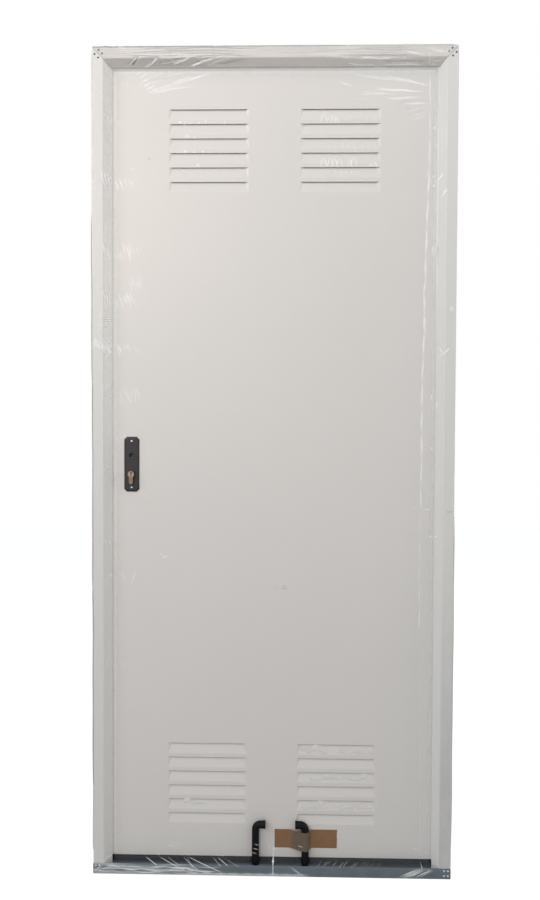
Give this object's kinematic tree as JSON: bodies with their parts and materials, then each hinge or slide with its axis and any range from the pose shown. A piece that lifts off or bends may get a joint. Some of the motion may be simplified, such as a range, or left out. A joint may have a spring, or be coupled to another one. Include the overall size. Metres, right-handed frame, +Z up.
{
  "type": "steel pedestrian door with frame",
  "caption": "Steel utility-room door: off-white louvred leaf hung in a splayed pressed-steel frame with a riveted galvanised sill, black lock plate and loose black levers taped to its foot.",
  "frame": {"origin": "on the sill's underside, at the middle of the frame's width and depth", "axes": "+Z up the jambs; -Y out of the front (push) face; +X to the right seen from the front"},
  "size_m": [0.89, 0.0835, 2.04],
  "materials": {
    "frame_paint": "satin off-white powder coat",
    "leaf_paint": "satin off-white powder coat",
    "hinge_steel": "satin off-white powder coat over steel knuckles",
    "galvanised": "dull galvanised sheet",
    "zinc_plate": "bright zinc plate",
    "dark_rivet": "dull steel rivet heads",
    "bright_rivet": "aluminium rivet heads",
    "lock_steel": "zinc-plated lock steel",
    "dark_steel": "dull cast follower",
    "black_plate": "satin black",
    "screw_steel": "bright screw heads",
    "cylinder_brass": "satin brass",
    "plug_brass": "satin brass, slightly copper-coloured",
    "black_nylon": "satin black nylon",
    "brown_tape": "brown packing tape"
  },
  "bodies": {
    "frame": {"sill_channel": "galvanised", "jamb_left": "frame_paint", "jamb_right": "frame_paint", "header": "frame_paint", "corner_cleat_left": "zinc_plate", "corner_cleat_right": "zinc_plate", "corner_rivets": "dark_rivet", "sill_rivets": "bright_rivet", "strike_box": "zinc_plate", "hinge_frame_lower": "hinge_steel", "hinge_frame_middle": "hinge_steel", "hinge_frame_upper": "hinge_steel"},
    "leaf": {"leaf_front_skin": "leaf_paint", "leaf_back_skin": "leaf_paint", "lock_stile": "leaf_paint", "hinge_stile": "leaf_paint", "top_rail": "leaf_paint", "bottom_rail": "leaf_paint", "lock_case": "lock_steel", "lock_forend": "lock_steel", "latch_bolt": "lock_steel", "dead_bolt": "lock_steel", "spindle_follower": "dark_steel", "lock_plate_front": "black_plate", "lock_plate_back": "black_plate", "spindle_bush_front": "black_nylon", "spindle_bush_back": "black_nylon", "plate_screws_front": "screw_steel", "plate_screws_back": "screw_steel", "cylinder_body": "cylinder_brass", "cylinder_plug_front": "plug_brass", "cylinder_plug_back": "plug_brass", "hinge_leaf_lower": "hinge_steel", "hinge_leaf_middle": "hinge_steel", "hinge_leaf_upper": "hinge_steel", "lever_handle_left": "black_nylon", "lever_handle_right": "black_nylon", "tape_strip": "brown_tape"}
  },
  "joints": [
    {"name": "leaf_swing", "type": "hinge", "parent": "frame", "child": "leaf", "pos_m": [0.416, 0.0415, 1.02], "axis": [0, 0, -1], "range_deg": [0, 170]}
  ]
}
